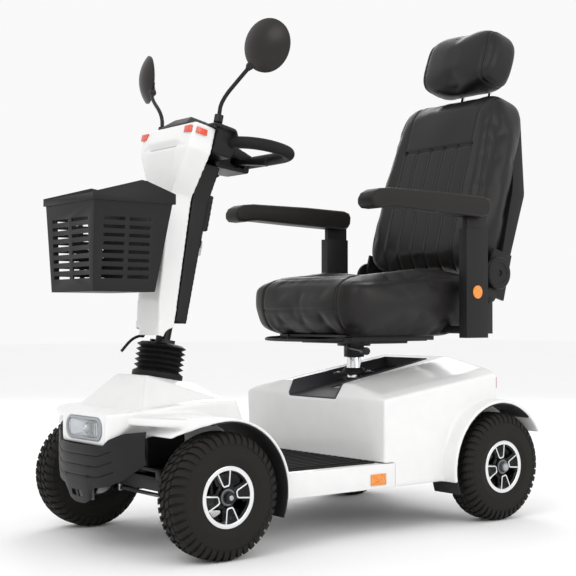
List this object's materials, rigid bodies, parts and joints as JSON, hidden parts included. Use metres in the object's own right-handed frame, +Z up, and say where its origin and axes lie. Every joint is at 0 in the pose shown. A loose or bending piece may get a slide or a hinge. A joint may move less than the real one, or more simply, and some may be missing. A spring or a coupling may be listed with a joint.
{
  "type": "mobility scooter",
  "caption": "Four-wheel mobility scooter with a swivelling captain's seat, adjustable tiller with loop handle, mirrors, front basket and full bodywork.",
  "frame": {"origin": "on the floor, under the middle of the whole scooter's bounding box", "axes": "+Z up, -Y is the front the scooter drives towards, +X is the rider's left"},
  "size_m": [0.684, 1.4116, 1.3896],
  "materials": {
    "black_frame": "satin black paint",
    "drive_grey": "cast, painted grey",
    "battery_case": "moulded case",
    "white_panel": "gloss white moulding",
    "lamp_grey": "grey bezel and reflector",
    "lens_clear": "clear lamp lens",
    "black_plastic": "fine-grained black moulding",
    "mat_rubber": "ribbed rubber",
    "dark_liner": "dark grey moulding",
    "red_lens": "red lens",
    "amber_lens": "amber lens",
    "chrome_steel": "polished chrome",
    "red_plastic": "red moulding",
    "zinc_steel": "zinc plated",
    "bellows_rubber": "soft rubber",
    "tyre_rubber": "rubber with a moulded tread",
    "silver_rim": "silver paint",
    "console_plastic": "grained black moulding",
    "grip_foam": "soft-touch sleeve on the loop",
    "green_plastic": "green moulding",
    "dial_plastic": "black knob",
    "mirror_plastic": "dark shell with a mirror glass",
    "seat_vinyl": "matt black upholstery",
    "seat_shell": "grained black shell"
  },
  "bodies": {
    "chassis": {"frame": "black_frame", "front_axle_beam": "black_frame", "transaxle": "drive_grey", "battery_packs": "battery_case", "front_cowl": "white_panel", "headlight_housing": "lamp_grey", "headlight_lens": "lens_clear", "front_bumper": "black_plastic", "wheel_liners": "dark_liner", "floor_pan": "white_panel", "foot_mat": "mat_rubber", "rear_body": "white_panel", "seat_surround": "dark_liner", "tail_lights": "red_lens", "side_reflectors": "amber_lens", "seat_post": "chrome_steel"},
    "freewheel_lever": {"freewheel_lever": "red_plastic"},
    "stem": {"steering_stem": "black_frame", "bellows": "bellows_rubber"},
    "knuckle_left": {"knuckle_left": "black_frame"},
    "knuckle_right": {"knuckle_right": "black_frame"},
    "tie_rod": {"tie_rod": "zinc_steel"},
    "wheel_front_left": {"tyre_front_left": "tyre_rubber", "rim_front_left": "silver_rim"},
    "wheel_front_right": {"tyre_front_right": "tyre_rubber", "rim_front_right": "silver_rim"},
    "wheel_rear_left": {"tyre_rear_left": "tyre_rubber", "rim_rear_left": "silver_rim"},
    "wheel_rear_right": {"tyre_rear_right": "tyre_rubber", "rim_rear_right": "silver_rim"},
    "tiller": {"tiller_column": "black_frame", "tiller_front_cover": "white_panel", "tiller_rear_cover": "black_plastic", "console": "console_plastic", "handlebar": "grip_foam", "indicators": "amber_lens"},
    "key": {"key": "zinc_steel"},
    "throttle_lever": {"throttle_lever": "console_plastic"},
    "speed_dial": {"speed_dial": "dial_plastic"},
    "horn_button": {"horn_button": "red_plastic"},
    "light_button": {"light_button": "green_plastic"},
    "mirror_stem_left": {"mirror_stem_left": "black_frame"},
    "mirror_stem_right": {"mirror_stem_right": "black_frame"},
    "mirror_head_left": {"mirror_head_left": "mirror_plastic"},
    "mirror_head_right": {"mirror_head_right": "mirror_plastic"},
    "tilt_lever": {"tilt_lever": "black_frame"},
    "basket": {"basket": "black_plastic"},
    "seat_base": {"seat_base": "black_frame"},
    "swivel_lever": {"swivel_lever": "black_frame"},
    "seat": {"seat_frame": "black_frame", "seat_cushion": "seat_vinyl"},
    "slide_lever": {"slide_lever": "black_frame"},
    "back": {"backrest": "seat_vinyl", "back_shell": "seat_shell"},
    "recline_lever": {"recline_lever": "black_plastic"},
    "headrest": {"headrest": "seat_vinyl"},
    "arm_bracket_left": {"arm_bracket_left": "black_frame"},
    "arm_bracket_right": {"arm_bracket_right": "black_frame"},
    "armrest_left": {"armrest_left": "seat_shell"},
    "armrest_right": {"armrest_right": "seat_shell"}
  },
  "joints": [
    {"name": "freewheel_turn", "type": "hinge", "parent": "chassis", "child": "freewheel_lever", "pos_m": [-0.07, 0.4142, 0.143], "axis": [-1, 0, 0], "range_deg": [0, 25]},
    {"name": "steer", "type": "hinge", "parent": "chassis", "child": "stem", "pos_m": [0, -0.4608, 0.395], "axis": [0, 0.1736, 0.9848], "range_deg": [-40, 40]},
    {"name": "kingpin_left", "type": "hinge", "parent": "chassis", "child": "knuckle_left", "pos_m": [0.262, -0.4818, 0.143], "axis": [0, 0, 1], "range_deg": [-40, 40]},
    {"name": "kingpin_right", "type": "hinge", "parent": "chassis", "child": "knuckle_right", "pos_m": [-0.262, -0.4818, 0.143], "axis": [0, 0, 1], "range_deg": [-40, 40]},
    {"name": "tie_rod_turn", "type": "hinge", "parent": "knuckle_left", "child": "tie_rod", "pos_m": [0.24, -0.4218, 0.106], "axis": [0, 0, 1], "range_deg": [-44, 44]},
    {"name": "wheel_front_left_spin", "type": "hinge", "parent": "knuckle_left", "child": "wheel_front_left", "pos_m": [0.292, -0.4818, 0.143], "axis": [1, 0, 0], "continuous": true},
    {"name": "wheel_front_right_spin", "type": "hinge", "parent": "knuckle_right", "child": "wheel_front_right", "pos_m": [-0.292, -0.4818, 0.143], "axis": [1, 0, 0], "continuous": true},
    {"name": "wheel_rear_left_spin", "type": "hinge", "parent": "chassis", "child": "wheel_rear_left", "pos_m": [0.292, 0.4142, 0.143], "axis": [1, 0, 0], "continuous": true},
    {"name": "wheel_rear_right_spin", "type": "hinge", "parent": "chassis", "child": "wheel_rear_right", "pos_m": [-0.292, 0.4142, 0.143], "axis": [1, 0, 0], "continuous": true},
    {"name": "tiller_tilt", "type": "hinge", "parent": "stem", "child": "tiller", "pos_m": [0, -0.44758, 0.47], "axis": [1, 0, 0], "range_deg": [-8, 12], "deforming": ["bellows"]},
    {"name": "key_turn", "type": "hinge", "parent": "tiller", "child": "key", "pos_m": [0.018, -0.34311, 0.7542], "axis": [0, 0.2147, 0.9767], "range_deg": [0, 90]},
    {"name": "throttle_swing", "type": "hinge", "parent": "tiller", "child": "throttle_lever", "pos_m": [0, -0.28375, 0.93569], "axis": [0, 0.2147, 0.9767], "range_deg": [-8, 8], "stiffness_Nm_per_rad": 0.6},
    {"name": "speed_turn", "type": "hinge", "parent": "tiller", "child": "speed_dial", "pos_m": [0, -0.27106, 0.98409], "axis": [0, 0.2147, 0.9767], "range_deg": [-135, 135]},
    {"name": "horn_press", "type": "slide", "parent": "tiller", "child": "horn_button", "axis": [0, -0.2147, -0.9767], "range_m": [0, 0.002], "stiffness_N_per_m": 600},
    {"name": "light_press", "type": "slide", "parent": "tiller", "child": "light_button", "axis": [0, -0.2147, -0.9767], "range_m": [0, 0.002], "stiffness_N_per_m": 600},
    {"name": "mirror_swivel_left", "type": "hinge", "parent": "tiller", "child": "mirror_stem_left", "pos_m": [0.127, -0.36746, 1.02064], "axis": [0, 0.2147, 0.9767], "range_deg": [-20, 40]},
    {"name": "mirror_swivel_right", "type": "hinge", "parent": "tiller", "child": "mirror_stem_right", "pos_m": [-0.127, -0.36746, 1.02064], "axis": [0, -0.2147, -0.9767], "range_deg": [-20, 40]},
    {"name": "mirror_tilt_left", "type": "hinge", "parent": "mirror_stem_left", "child": "mirror_head_left", "pos_m": [0.214, -0.3432, 1.13101], "axis": [1, 0, 0], "range_deg": [-12, 12]},
    {"name": "mirror_tilt_right", "type": "hinge", "parent": "mirror_stem_right", "child": "mirror_head_right", "pos_m": [-0.214, -0.3432, 1.13101], "axis": [1, 0, 0], "range_deg": [-12, 12]},
    {"name": "tilt_release", "type": "hinge", "parent": "tiller", "child": "tilt_lever", "pos_m": [-0.045, -0.47649, 0.49683], "axis": [1, 0, 0], "range_deg": [0, 12], "stiffness_Nm_per_rad": 0.3},
    {"name": "basket_lift", "type": "slide", "parent": "tiller", "child": "basket", "axis": [0, 0.2147, 0.9767], "range_m": [0, 0.045]},
    {"name": "seat_swivel", "type": "hinge", "parent": "chassis", "child": "seat_base", "pos_m": [0, 0.1772, 0.455], "axis": [0, 0, 1], "range_deg": [-90, 90]},
    {"name": "swivel_release", "type": "hinge", "parent": "seat_base", "child": "swivel_lever", "pos_m": [0.06, 0.1072, 0.46], "axis": [0, 0, 1], "range_deg": [0, 10], "stiffness_Nm_per_rad": 0.4},
    {"name": "seat_slide", "type": "slide", "parent": "seat_base", "child": "seat", "axis": [0, 1, 0], "range_m": [-0.04, 0.04]},
    {"name": "slide_release", "type": "hinge", "parent": "seat", "child": "slide_lever", "pos_m": [0, 0.0362, 0.486], "axis": [-1, 0, 0], "range_deg": [0, 10], "stiffness_Nm_per_rad": 0.8},
    {"name": "back_recline", "type": "hinge", "parent": "seat", "child": "back", "pos_m": [0, 0.4442, 0.602], "axis": [-1, 0, 0], "range_deg": [-6, 25]},
    {"name": "recline_release", "type": "hinge", "parent": "seat", "child": "recline_lever", "pos_m": [0.262, 0.4442, 0.602], "axis": [-1, 0, 0], "range_deg": [0, 20], "stiffness_Nm_per_rad": 0.5},
    {"name": "headrest_lift", "type": "slide", "parent": "back", "child": "headrest", "axis": [0, 0.2588, 0.9659], "range_m": [0, 0.06]},
    {"name": "arm_width_left", "type": "slide", "parent": "seat", "child": "arm_bracket_left", "axis": [1, 0, 0], "range_m": [0, 0.04]},
    {"name": "arm_width_right", "type": "slide", "parent": "seat", "child": "arm_bracket_right", "axis": [-1, 0, 0], "range_m": [0, 0.04]},
    {"name": "armrest_flip_left", "type": "hinge", "parent": "arm_bracket_left", "child": "armrest_left", "pos_m": [0.286, 0.3322, 0.838], "axis": [-1, 0, 0], "range_deg": [0, 90]},
    {"name": "armrest_flip_right", "type": "hinge", "parent": "arm_bracket_right", "child": "armrest_right", "pos_m": [-0.286, 0.3322, 0.838], "axis": [-1, 0, 0], "range_deg": [0, 90]}
  ],
  "couplings": [
    {"joint": "kingpin_left", "follows": "steer", "ratio": 1},
    {"joint": "kingpin_right", "follows": "steer", "ratio": 1},
    {"joint": "tie_rod_turn", "follows": "steer", "ratio": -1.085}
  ]
}
